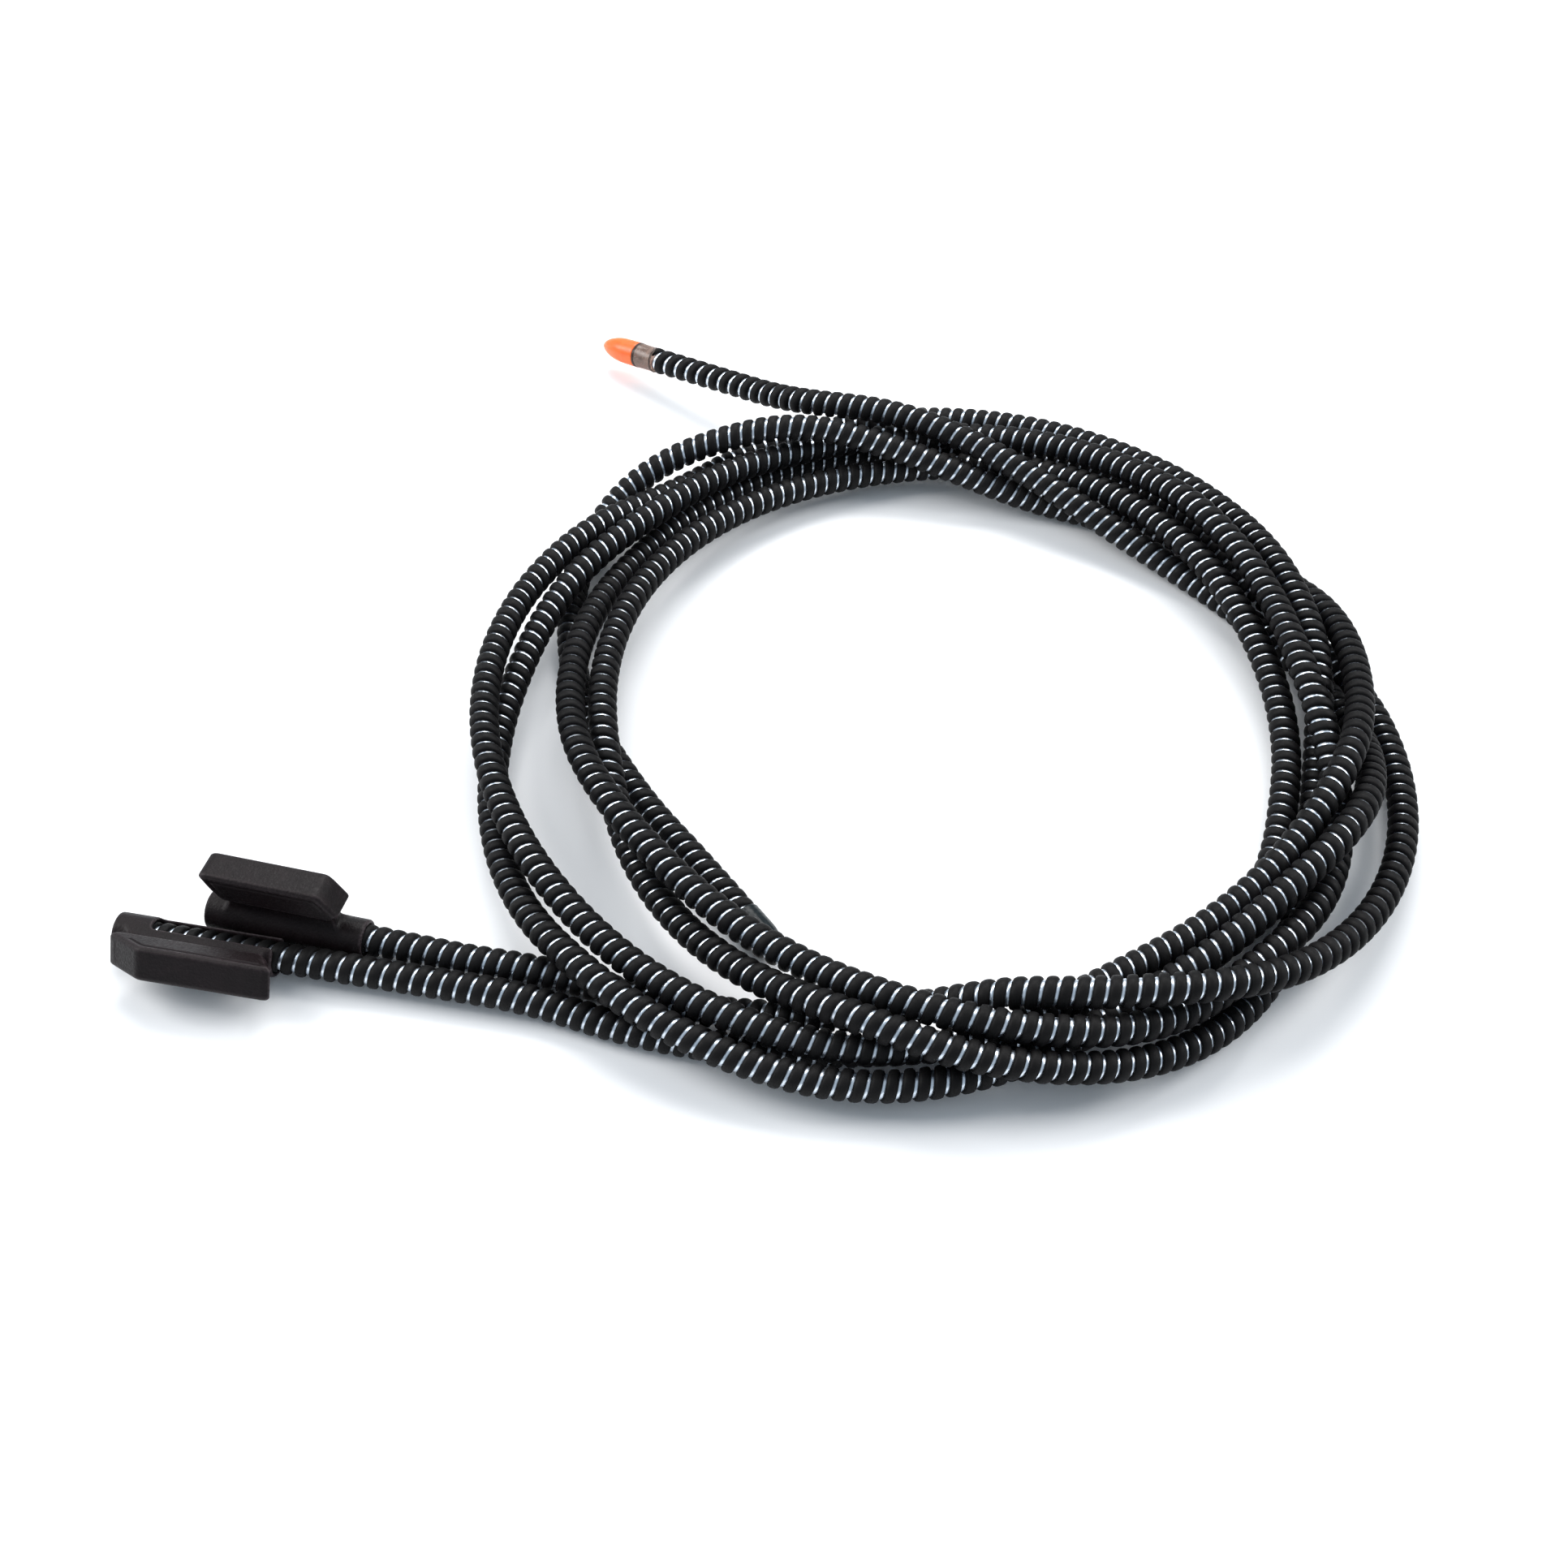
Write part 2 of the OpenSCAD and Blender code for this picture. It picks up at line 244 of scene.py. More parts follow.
class Cable:
    """One cable's centre line by arc length s in metres, from the tail to the tipped end.

    tail_dir and end_dir point outward from the two joints, away from the coil. stretch opens
    the winding's pitch at the tipped end.
    """

    def __init__(self, side, colour, stretch):
        self.side, self.colour = side, colour
        self.tail_root = np.array(JOINT[f"{side}_tail_bend"]["pos_m"])
        self.end_root = np.array(JOINT[f"{colour}_end_bend"]["pos_m"])
        middle = section_centres(f"coil_core_{colour}_tip", self.tail_root)
        tail_node = f"{side}_tail_jacket"
        axis = np.array(JOINT[f"{side}_handle_turn"]["axis"], float)
        outward = axis @ (node_middle(tail_node) - self.tail_root) > 0
        self.tail_dir = unit(axis if outward else -axis)
        self.end_dir = unit(node_middle(f"{colour}_end_crimp") - self.end_root)
        self.tail_len = node_span(tail_node, self.tail_root, self.tail_dir)[1]
        self.end_len = node_span(f"{colour}_end_jacket", self.end_root, self.end_dir)[1]

        tail = [self.tail_root + self.tail_dir * d
                for d in np.arange(self.tail_len + 0.006, 0.004, -ROW_GAP)]
        end = [self.end_root + self.end_dir * d
               for d in np.arange(0.008, self.end_len + 0.012, ROW_GAP)]
        rows = np.array(tail + [self.tail_root] + list(middle[1:-1]) + [self.end_root] + end)
        knots = arc_length(rows)
        line = natural_spline(knots, rows, np.arange(0, knots[-1], LINE_STEP))
        s = arc_length(line)
        self.s = np.arange(0, s[-1], LINE_STEP)
        self.points = np.stack([np.interp(self.s, s, line[:, i]) for i in range(3)], 1)
        tangents = unit(np.gradient(self.points, axis=0))
        self.normals = untwisted_normals(self.points, tangents)
        self.binormals = np.cross(tangents, self.normals)
        self.tail_s = self.nearest(self.tail_root)
        self.end_s = self.nearest(self.end_root)
        # The pitch opens over 50 mm, from 20 mm before the end joint.
        self.loose = 1 + stretch * np.clip((self.s - self.end_s + 0.02) / 0.05, 0, 1)
        steps = np.diff(self.s) / (PITCH * MM * self.loose[1:])
        self.turns = np.concatenate([[0], np.cumsum(steps)])

    def nearest(self, point):
        return float(self.s[np.argmin(np.linalg.norm(self.points - point, axis=1))])

    def sample(self, table, s):
        return np.stack([np.interp(s, self.s, table[:, i]) for i in range(3)], -1)

    def centre(self, s):
        return tuple(self.sample(self.points, s))

    def place(self, s, radius, angle):
        """Points at arc length s, radius (both in metres) and angle round the line."""
        normal = unit(self.sample(self.normals, s))
        binormal = unit(self.sample(self.binormals, s))
        out = normal * np.cos(angle)[..., None] + binormal * np.sin(angle)[..., None]
        return self.sample(self.points, s) + radius[..., None] * out


# ---------------------------------------------------------------- strips and turned pieces

# Unevenness of a strip's height: radians per metre, phase, weight.
HEIGHT_WAVES = ((91.7, 1.3, 0.5), (233.1, 4.1, 0.3), (617.0, 0.0, 0.2))
SWAY_RATE = 371.0       # sideways unevenness, radians per metre
SWAY_SHARE = 0.4        # its size in mm for a wobble of 1
TAPER_TURNS = 0.12      # length of a tapered end
TAPER_WIDTH = 0.35      # share of the width left where a taper ends


def winding(name, cable, start, end, taper, profile, per_turn, mat, offset, wobble):
    """A closed helical strip between two arc lengths, with capped ends.

    profile goes round the section as (axial offset, radius) in mm; offset is axial, in mm.
    taper says whether the start and the end taper.
    """
    first, last = (math.ceil(float(np.interp(q, cable.s, cable.turns)) * per_turn)
                   for q in (start, end))
    step = np.arange(first, last + 1)
    s = np.interp(step / per_turn, cable.turns, cable.s)
    loose = np.interp(s, cable.s, cable.loose)
    angle = -2 * math.pi * step / per_turn
    axial, radius = (np.array(profile) * MM).T
    base = radius.min()
    scale = np.ones(len(step))
    for tapered, distance in zip(taper, (step - first, last - step)):
        if tapered:
            scale *= np.clip(distance / (per_turn * TAPER_TURNS) + 0.02, 0, 1) ** 0.5
    wave = sum(np.sin(s * rate + phase) * weight for rate, phase, weight in HEIGHT_WAVES)
    rise = (1 + wobble * wave) * scale
    sway = wobble * SWAY_SHARE * MM * np.sin(s * SWAY_RATE)
    width = TAPER_WIDTH + (1 - TAPER_WIDTH) * scale
    along = (s + offset * MM * loose)[:, None] + axial * width[:, None] + sway[:, None]
    out = np.minimum(base + (radius - base) * rise[:, None], RIDGE_R * MM)
    points = cable.place(along, out, np.broadcast_to(angle[:, None], along.shape))

    rows, size = along.shape
    row_start = np.arange(rows - 1)[:, None] * size
    i = row_start + np.arange(size)
    j = row_start + (np.arange(size) + 1) % size
    quads = np.stack([i + size, j + size, j, i], -1).reshape(-1, 4)
    piece = new_mesh(name, points.reshape(-1, 3), quads, mat)

    def cap_ends(bm):
        bm.verts.ensure_lookup_table()
        bm.faces.new([bm.verts[q] for q in range(size)])
        bm.faces.new([bm.verts[(rows - 1) * size + q] for q in reversed(range(size))])

    tidy(piece, cap_ends, sharp_degrees=60)
    return piece


def lathe(name, origin, axis, profile, mat, around, shape=None):
    """A surface of revolution from a profile of (distance along axis, radius) in mm.

    shape(x, radius, angle) may change each ring. A profile that ends where it starts makes a
    closed ring section; any other is capped at both ends.
    """
    axis = unit(axis)
    side = unit(np.cross(axis, [0, 0, 1.0]))
    up = np.cross(axis, side)
    angle = np.arange(around) / around * 2 * math.pi
    out = side * np.cos(angle)[:, None] + up * np.sin(angle)[:, None]
    profile = np.array(profile, float)
    closed = bool(np.allclose(profile[0], profile[-1]))
    if closed:
        profile = profile[:-1]
    rings = []
    for distance, r in profile:
        x, radius = np.full(around, distance), np.full(around, r)
        if shape is not None:
            x, radius = shape(x, radius, angle)
        rings.append(origin + (axis * x[:, None] + out * radius[:, None]) * MM)
    count = len(profile)
    faces = []
    for i in range(count if closed else count - 1):
        here, ahead = i * around, (i + 1) % count * around
        for q in range(around):
            w = (q + 1) % around
            faces.append((here + q, here + w, ahead + w, ahead + q))
    if not closed:
        faces.append(tuple(range(around))[::-1])
        faces.append(tuple(range((count - 1) * around, count * around)))
    piece = new_mesh(name, np.concatenate(rings), faces, mat)

    def merge_doubles(bm):
        bmesh.ops.remove_doubles(bm, verts=bm.verts, dist=1e-7)

    tidy(piece, merge_doubles, sharp_degrees=50)
    return piece


# ---------------------------------------------------------------- materials

class Shader:
    """A small builder for node materials. An input takes a value or another node's output."""

    def __init__(self, name):
        self.material = bpy.data.materials.new(name)
        self.material.use_nodes = True
        self.tree = self.material.node_tree
        self.principled = self.tree.nodes["Principled BSDF"]
        self.coord = self.node("TexCoord").outputs["Object"]

    def put(self, socket, value):
        if hasattr(value, "links"):
            self.tree.links.new(value, socket)
        else:
            socket.default_value = value

    def fill(self, node, inputs):
        for key, value in inputs.items():
            self.put(node.inputs[key.replace("_", " ")], value)

    def node(self, kind, **inputs):
        node = self.tree.nodes.new("ShaderNode" + kind)
        self.fill(node, inputs)
        return node

    def set(self, **inputs):
        self.fill(self.principled, inputs)

    def noise(self, scale, detail=4.0, roughness=0.55, distortion=0.0):
        return self.node("TexNoise", Scale=scale, Detail=detail, Roughness=roughness,
                         Distortion=distortion, Vector=self.coord).outputs["Fac"]

    def voronoi(self, scale):
        return self.node("TexVoronoi", Scale=scale, Vector=self.coord).outputs["Distance"]

    def ramp(self, factor, low, high, over=(0.3, 0.7)):
        """The colour low below the range over, high above it."""
        node = self.node("ValToRGB", Fac=factor)
        for stop, position, colour in zip(node.color_ramp.elements, over, (low, high)):
            stop.position = position
            stop.color = (*colour, 1)
        return node.outputs["Color"]

    def span(self, factor, to, over=(0.3, 0.7)):
        """The factor's range over mapped to the range to."""
        return self.node("MapRange", From_Min=over[0], From_Max=over[1], To_Min=to[0],
                         To_Max=to[1], Value=factor).outputs["Result"]

    def mix(self, factor, base, colour):
        node = self.node("Mix")
        node.data_type = "RGBA"
        # Inputs 6 and 7 are the colour pair, output 2 the colour.
        for index, value in ((0, factor), (6, base), (7, (*colour, 1))):
            self.put(node.inputs[index], value)
        return node.outputs[2]

    def multiply(self, a, b):
        node = self.node("Math")
        node.operation = "MULTIPLY"
        self.put(node.inputs[0], a)
        self.put(node.inputs[1], b)
        return node.outputs[0]

    def bump(self, height, strength, distance, **under):
        """Bump the surface; Normal may be given as the bump underneath."""
        node = self.node("Bump", Strength=strength, Distance=distance, Height=height, **under)
        self.set(Normal=node.outputs["Normal"])
        return node.outputs["Normal"]


def winding_material():
    shader = Shader("black_winding_satin")
    broad = shader.noise(scale=38, detail=3)
    fine = shader.noise(scale=1500, detail=5, roughness=0.6)
    scuff = shader.noise(scale=420, detail=6, roughness=0.7, distortion=0.4)
    base = shader.ramp(broad, low=(0.0030, 0.0028, 0.0030), high=(0.0060, 0.0055, 0.0058))
    dust = shader.span(scuff, to=(0.0, 0.55), over=(0.58, 0.80))
    shader.set(Base_Color=shader.mix(dust, base, colour=(0.014, 0.013, 0.014)),
               Roughness=shader.span(fine, to=(0.48, 0.66)), IOR=1.45, Specular_IOR_Level=0.16)
    grain = shader.bump(fine, strength=0.35, distance=0.00012)
    shader.bump(scuff, strength=0.25, distance=0.00025, Normal=grain)
    return shader.material


def core_material():
    shader = Shader("bright_drawn_wire")
    broad = shader.noise(scale=60, detail=3)
    fine = shader.noise(scale=900, detail=6, roughness=0.7, distortion=1.2)
    shader.set(Base_Color=shader.ramp(broad, low=(0.60, 0.68, 0.77), high=(0.76, 0.82, 0.90)),
               Metallic=1.0, Roughness=shader.span(fine, to=(0.24, 0.46)))
    shader.bump(fine, strength=0.25, distance=0.00008)
    return shader.material


def handle_material():
    shader = Shader("handle_moulded_plastic")
    broad = shader.noise(scale=55, detail=4)
    fine = shader.noise(scale=1100, detail=3, roughness=0.5)
    grain = shader.voronoi(scale=1700)
    pointiness = shader.node("NewGeometry").outputs["Pointiness"]
    edge = shader.span(pointiness, to=(0.0, 1.0), over=(0.508, 0.555))
    blotch = shader.noise(scale=230, detail=5, roughness=0.6)
    base = shader.ramp(broad, low=(0.0040, 0.0022, 0.0026), high=(0.0085, 0.0048, 0.0056),
                       over=(0.32, 0.68))
    speck = shader.mix(shader.span(blotch, to=(0, 0.5), over=(0.52, 0.75)), base,
                       colour=(0.0135, 0.0078, 0.0090))
    # Convex edges are painted lighter: partly rubbed wear, partly a painted highlight along the
    # edges.
    edge_wear_and_highlight = shader.multiply(edge, shader.span(fine, to=(0.2, 0.9), over=(0.35, 0.65)))
    worn_and_highlit = shader.mix(edge_wear_and_highlight, speck, colour=(0.060, 0.046, 0.050))
    shader.set(Base_Color=worn_and_highlit, Roughness=shader.span(fine, to=(0.40, 0.56)),
               Specular_IOR_Level=0.17)
    pebble = shader.bump(grain, strength=0.4, distance=0.00012)
    shader.bump(fine, strength=0.45, distance=0.00022, Normal=pebble)
    return shader.material


def ferrule_material():
    shader = Shader("ferrule_satin_black")
    fine = shader.noise(scale=700, detail=5, roughness=0.6)
    broad = shader.noise(scale=90, detail=3)
    shader.set(Base_Color=shader.ramp(broad, low=(0.005, 0.004, 0.004), high=(0.010, 0.008, 0.008)),
               Roughness=shader.span(fine, to=(0.38, 0.55)), Specular_IOR_Level=0.22)
    shader.bump(fine, strength=0.3, distance=0.00012)
    return shader.material


def crimp_material():
    shader = Shader("crimp_dull_metal")
    fine = shader.noise(scale=500, detail=5, roughness=0.6, distortion=0.8)
    shader.set(Base_Color=shader.ramp(fine, low=(0.42, 0.43, 0.45), high=(0.66, 0.67, 0.70)),
               Metallic=1.0, Roughness=shader.span(fine, to=(0.3, 0.5)))
    shader.bump(fine, strength=0.3, distance=0.0001)
    return shader.material


def black_tip_material():
    shader = Shader("black_tip_gloss")
    broad = shader.noise(scale=120, detail=3)
    fine = shader.noise(scale=620, detail=5, roughness=0.65)
    shader.set(Base_Color=shader.ramp(broad, low=(0.003, 0.006, 0.008), high=(0.005, 0.010, 0.012)),
               Roughness=shader.span(fine, to=(0.26, 0.40)), Coat_Weight=0.04,
               Coat_Roughness=0.2, Specular_IOR_Level=0.16)
    shader.bump(fine, strength=0.25, distance=0.00012)
    return shader.material


def orange_tip_material():
    shader = Shader("orange_tip_soft")
    broad = shader.noise(scale=160, detail=3)
    fine = shader.noise(scale=800, detail=4, roughness=0.6)
    base = shader.ramp(broad, low=(0.92, 0.115, 0.014), high=(0.96, 0.155, 0.024))
    # Paler toward the silhouette by the facing angle: a painted sheen at grazing angles.
    facing = shader.node("LayerWeight", Blend=0.35).outputs["Facing"]
    painted_rim_sheen = shader.mix(shader.span(facing, to=(0.0, 0.30), over=(0.0, 1.0)), base,
                      colour=(1.0, 0.27, 0.07))
    shader.set(Base_Color=painted_rim_sheen, Roughness=shader.span(fine, to=(0.28, 0.42)),
               Subsurface_Weight=0.35, Subsurface_Radius=(1.0, 0.35, 0.12),
               Subsurface_Scale=0.003, Specular_IOR_Level=0.5)
    shader.bump(fine, strength=0.18, distance=0.00012)
    return shader.material


def sleeve_material():
    shader = Shader("smoky_clear_sleeve")
    broad = shader.noise(scale=300, detail=3)
    fine = shader.noise(scale=900, detail=4, roughness=0.6)
    shader.set(Base_Color=shader.ramp(broad, low=(0.36, 0.25, 0.20), high=(0.55, 0.42, 0.36)),
               Roughness=shader.span(fine, to=(0.14, 0.28)), Transmission_Weight=0.72, IOR=1.38)
    shader.bump(fine, strength=0.2, distance=0.0001)
    return shader.material


def rim_material():
    shader = Shader("sleeve_rim_dark")
    fine = shader.noise(scale=700, detail=4, roughness=0.6)
    shader.set(Base_Color=shader.ramp(fine, low=(0.012, 0.007, 0.005), high=(0.045, 0.022, 0.014)),
               Roughness=shader.span(fine, to=(0.28, 0.44)), Specular_IOR_Level=0.3)
    shader.bump(fine, strength=0.3, distance=0.0001)
    return shader.material


MAT_RIDGE = winding_material()
MAT_CORE = core_material()
MAT_HANDLE = handle_material()
MAT_FERRULE = ferrule_material()
MAT_CRIMP = crimp_material()
MAT_BLACK = black_tip_material()
MAT_ORANGE = orange_tip_material()
MAT_SLEEVE = sleeve_material()
MAT_RIM = rim_material()


# ---------------------------------------------------------------- the cables

# Sections of the strips: axial offset, radius, in mm.
RIDGE = [(-1.70, 3.30), (-1.75, 3.80), (-1.69, 4.28), (-1.42, 4.68), (-0.82, 4.92),
         (0.0, RIDGE_R),
         (0.82, 4.92), (1.42, 4.68), (1.69, 4.28), (1.75, 3.80), (1.70, 3.30)]
WIRE = [(-1.15, 2.45), (-1.05, 3.42), (-0.62, 3.74), (0.0, CROWN_R),
        (0.62, 3.74), (1.05, 3.42), (1.15, 2.45)]
# Kind, material slot, and how the strip is wound. The wire runs midway between the ridges.
STRIPS = (
    ("ridge", "black_winding",
     dict(profile=RIDGE, per_turn=20, mat=MAT_RIDGE, offset=0.0, wobble=0.02)),
    ("wire", "bright_core",
     dict(profile=WIRE, per_turn=16, mat=MAT_CORE, offset=PITCH / 2, wobble=0.01)),
)
BEND = 16 * MM          # half the length of the piece cut round each joint
TAIL_SHORT = 1.6 * MM   # the winding stops this far inside the tail's CAD end
COIL_PIECES = 4


def lay_cable(cable, end_short):
    """Both strips of a cable, cut where bodies change; end_short shortens the tipped end."""
    side, colour = cable.side, cable.colour
    tail_body, end_body = f"{side}_tail", f"{colour}_end"
    tail_out, coil_start = cable.tail_s - BEND, cable.tail_s + BEND
    coil_end, end_out = cable.end_s - BEND, cable.end_s + BEND
    cuts = [("tail", cable.tail_s - cable.tail_len + TAIL_SHORT, tail_out, tail_body),
            ("tail_bend", tail_out, coil_start, tail_body)]
    edges = np.linspace(coil_start, coil_end, COIL_PIECES + 1)
    cuts += [(f"coil_{i + 1}", edges[i], edges[i + 1], "coil") for i in range(COIL_PIECES)]
    cuts += [("end_bend", coil_end, end_out, end_body),
             ("end", end_out, cable.end_s + cable.end_len - end_short, end_body)]
    for part, start, end, body in cuts:
        taper = (part == "tail", part == "end")
        for kind, slot, options in STRIPS:
            name = f"cable_{colour}_{kind}_{part}"
            piece = winding(name, cable, start, end, taper, **options)
            if part == "tail_bend":
                cable.centre(end)
                cable.centre(start)
                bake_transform(piece)
            elif part == "end_bend":
                cable.centre(start)
                cable.centre(end)
                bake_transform(piece)
            else:
                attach(piece, body)
    for part, jacket, core in (
            ("tail", f"{side}_tail_jacket", f"{side}_tail_core"),
            ("coil_1", f"coil_jacket_{colour}_tip", f"coil_core_{colour}_tip"),
            ("end", f"{colour}_end_jacket", f"{colour}_end_core")):
        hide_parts(jacket)
        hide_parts(core)


front = Cable("front", "black", stretch=0.0)
rear = Cable("rear", "orange", stretch=0.17)
lay_cable(front, end_short=1.4 * MM)
lay_cable(rear, end_short=5.6 * MM)


# ---------------------------------------------------------------- ferrules, tips, crimps, sleeve

def ferrule(cable, nose):
    """The cap on a tail's free end: two shallow grooves and a rounded nose, nose mm long."""
    side = cable.side
    node = f"{side}_tail_ferrule"
    origin, length = seat(node, cable.tail_root, cable.tail_dir)
    edge = length - SHELL_R
    profile = [(0.0, 0.6), (0.0, 4.4), (0.12, 4.78), (0.4, SHELL_R),
               (1.1, SHELL_R), (1.3, 4.72), (1.6, 4.72), (1.8, SHELL_R),
               (edge - 1.4, SHELL_R), (edge - 1.2, 4.76), (edge - 0.8, 4.76),
               (edge - 0.6, SHELL_R), (edge, SHELL_R)]
    for angle in np.radians(np.arange(8, 90, 8)):
        profile.append((edge + nose * math.sin(angle), SHELL_R * math.cos(angle)))
    profile.append((edge + nose, 0.02))
    piece = lathe(f"{side}_ferrule", origin, cable.tail_dir, profile, MAT_FERRULE, around=72)
    register(piece, f"{side}_tail", node)


ferrule(front, nose=2.6)
ferrule(rear, nose=4.2)

SEAM_ANGLE = 0.4        # radians; a second seam is opposite
SEAM_WIDTH = 0.05       # radians
# Folds round the black tip: waves per turn, phase, weight.
FOLDS = ((5, 0.3, 0.4), (9, 1.7, 0.35), (14, 4.4, 0.25))


def orange_shape(x, radius, angle, length):
    """Two raised seams and a slight narrowing toward the nose."""
    seam = sum(np.exp(-(np.angle(np.exp(1j * (angle - SEAM_ANGLE - turn))) / SEAM_WIDTH) ** 2)
               for turn in (0, math.pi))
    lean = 1 - 0.012 * np.clip((x - 6) / 8, 0, 1)
    return x, np.where(x > 5.0, radius * lean + 0.05 * seam * (radius > 2) - 0.05, radius)


def black_shape(x, radius, angle, length):
    """Folds that deepen toward the nose, and shallow rings near the open end."""
    fold = sum(np.sin(waves * angle + phase) * weight for waves, phase, weight in FOLDS)
    near = np.clip((x - 3.5) / (length - 6.5), 0, 1) * np.clip((length - x) / 2.2, 0, 1)
    ring = 0.5 * (1 + np.cos(2 * math.pi * (x - 1.2) / 2.1)) * (x > 1.0) * (x < 5.5)
    shrunk = radius * (1 - 0.052 * near * (0.9 + fold) - 0.012 * ring)
    return x, np.where(x > 0.05, shrunk, radius)


def bullet_tip(cable, mat, nose_ratio, power, shape):
    """A bullet with a hollow open end; nose_ratio is nose length to radius, power its taper."""
    node = f"{cable.colour}_tip"
    origin, length = seat(node, cable.end_root, cable.end_dir)
    nose = nose_ratio * SHELL_R
    profile = [(4.9, 0.4), (4.9, 4.2), (4.75, 4.42), (0.15, 4.5), (0.0, 4.62),
               (0.12, SHELL_R - 0.08), (0.4, SHELL_R)]
    profile += [(x, SHELL_R) for x in np.arange(0.9, length - nose, 0.45)]
    for angle in np.radians(np.arange(0, 90, 4.5)):
        profile.append((length - nose + nose * math.sin(angle),
                        SHELL_R * math.cos(angle) ** power))
    profile.append((length, 0.02))
    piece = lathe(f"{cable.colour}_bullet_tip", origin, cable.end_dir, profile, mat, around=96,
                  shape=lambda x, radius, angle: shape(x, radius, angle, length))
    register(piece, f"{cable.colour}_end", node)


bullet_tip(front, MAT_BLACK, nose_ratio=1.8, power=1.0, shape=black_shape)
bullet_tip(rear, MAT_ORANGE, nose_ratio=2.35, power=1.22, shape=orange_shape)


def crimp(cable):
    """A metal collar with two pressed grooves."""
    node = f"{cable.colour}_end_crimp"
    origin, length = seat(node, cable.end_root, cable.end_dir)
    bore, groove, outer = 2.7, 4.05, 4.45
    profile = [(0, bore), (0, 4.3), (0.15, outer), (length * 0.25, outer),
               (length * 0.32, groove), (length * 0.42, groove),
               (length * 0.5, outer), (length * 0.68, outer),
               (length * 0.75, groove), (length * 0.85, groove),
               (length * 0.92, 4.42), (length, 4.3), (length, bore), (0, bore)]
    piece = lathe(f"{cable.colour}_tip_crimp", origin, cable.end_dir, profile, MAT_CRIMP, around=64)
    register(piece, f"{cable.colour}_end", node)


crimp(front)
crimp(rear)


def rim_waver(x, radius, angle):
    return x + 0.10 * np.sin(angle * 2 + 0.7) + 0.05 * np.sin(angle * 5), radius


def sleeve(cable):
    """The clear sleeve behind the orange tip, with a dark uneven rim at each end."""
    node = "orange_end_sleeve"
    axis = cable.end_dir
    origin, length = seat(node, cable.end_root, axis, back=6.6)
    bore = 4.55
    profile = [(0, bore), (0.0, 4.8), (0.15, 4.94), (0.6, SHELL_R), (0.75, 4.86), (1.0, 4.84),
               (length - 1.2, 4.86), (length - 0.9, SHELL_R), (length - 0.15, SHELL_R),
               (length, 4.85), (length, bore), (0, bore)]
    piece = lathe("smoky_sleeve", origin, axis, profile, MAT_SLEEVE, around=72)
    register(piece, "orange_end", node)
    for label, x, width in (("tip", length - 1.15, 1.1), ("cable", 0.1, 0.6)):
        ring = [(x, 4.86), (x, 4.93), (x + 0.12, 4.975), (x + width - 0.12, 4.975),
                (x + width, 4.93), (x + width, 4.86), (x, 4.86)]
        rim = lathe(f"sleeve_rim_{label}", origin, axis, ring, MAT_RIM, around=72, shape=rim_waver)
        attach(rim, "orange_end")


sleeve(rear)


# ---------------------------------------------------------------- handles

# In millimetres.
TROUGH_LENGTH = 52
TROUGH_R = 6.3
BORE_R = 5.08
BAR_INNER, BAR_OUTER = 11.1, 21.4   # the bar's near and far sides, from the cable's axis
BAR_HALF = 5.5                      # half the bar's thickness
WEB_HALF = 2.7                      # half the web's thickness
SLOT_HALF = 4.2                     # half the width of the trough's opening
GRID = 0.40


def smin(a, b, k):
    """The smaller of two distances, blended over k."""
    h = np.clip(0.5 + 0.5 * (b - a) / k, 0, 1)
    return b * (1 - h) + a * h - k * h * (1 - h)


def smax(a, b, k):
    return -smin(-a, -b, k)


def inside_outline(x, y, outline, k):
    """Signed distance of a convex outline, given counterclockwise, its corners rounded by k."""
    distance = None
    for (ax, ay), (bx, by) in zip(outline, outline[1:] + outline[:1]):
        length = math.hypot(bx - ax, by - ay)
        edge = ((by - ay) * (x - ax) - (bx - ax) * (y - ay)) / length
        distance = edge if distance is None else smax(distance, edge, k)
    return distance


def within(x, low, high):
    """Signed distance of the slab from low to high."""
    return np.abs(x - (low + high) / 2) - (high - low) / 2


def handle_field(free_end, root_end, slot_range):
    """Signed distance of a moulded handle: a trough, and a bar beside it joined by a web.

    x runs along the cable to its free end, y out along the wing, z out of the trough's opening.
    free_end and root_end are the bar's x at its (outer, inner) corners.
    """
    (free_outer, free_inner), (root_outer, root_inner) = free_end, root_end
    outline = [(root_inner, BAR_INNER + 2.5), (root_inner + 2.5, BAR_INNER),
               (free_inner - 2.5, BAR_INNER), (free_inner, BAR_INNER + 2.5),
               (free_outer, BAR_OUTER - 1), (free_outer - 1.5, BAR_OUTER),
               (root_outer + 1.5, BAR_OUTER), (root_outer, BAR_OUTER - 1)]

    def field(x, y, z):
        q = np.sqrt(y * y + z * z)
        trough = smax(q - TROUGH_R, within(x, 0, TROUGH_LENGTH), 0.8)
        web = smax(smax(within(x, max(root_inner, 0) + 3, free_inner - 3),
                        np.abs(z) - WEB_HALF, 0.8),
                   smax(-y + 3, y - 14, 0.5), 0.5)
        side = inside_outline(x, y, outline, 0.7)
        height = np.abs(z) - BAR_HALF
        bar = smax(side, height, 0.35)
        # Chamfered edges, then a fine groove 2.3 mm inside the outline on both faces.
        bar = smax(bar, (side + height + 0.9) / 1.4142, 0.35)
        groove = smax(np.abs(side + 2.3) - 0.28, 5.22 - np.abs(z), 0.15)
        bar = smax(bar, -smax(groove, BAR_INNER + 4.5 - y, 0.2), 0.12)
        body = smin(smin(trough, web, 2.6), bar, 1.6)
        body = smax(body, BORE_R - q, 0.25)
        slot = smax(smax(np.abs(y) - SLOT_HALF, -z, 0.3), within(x, *slot_range), 2.0)
        return smax(body, -slot, 0.5)

    return field


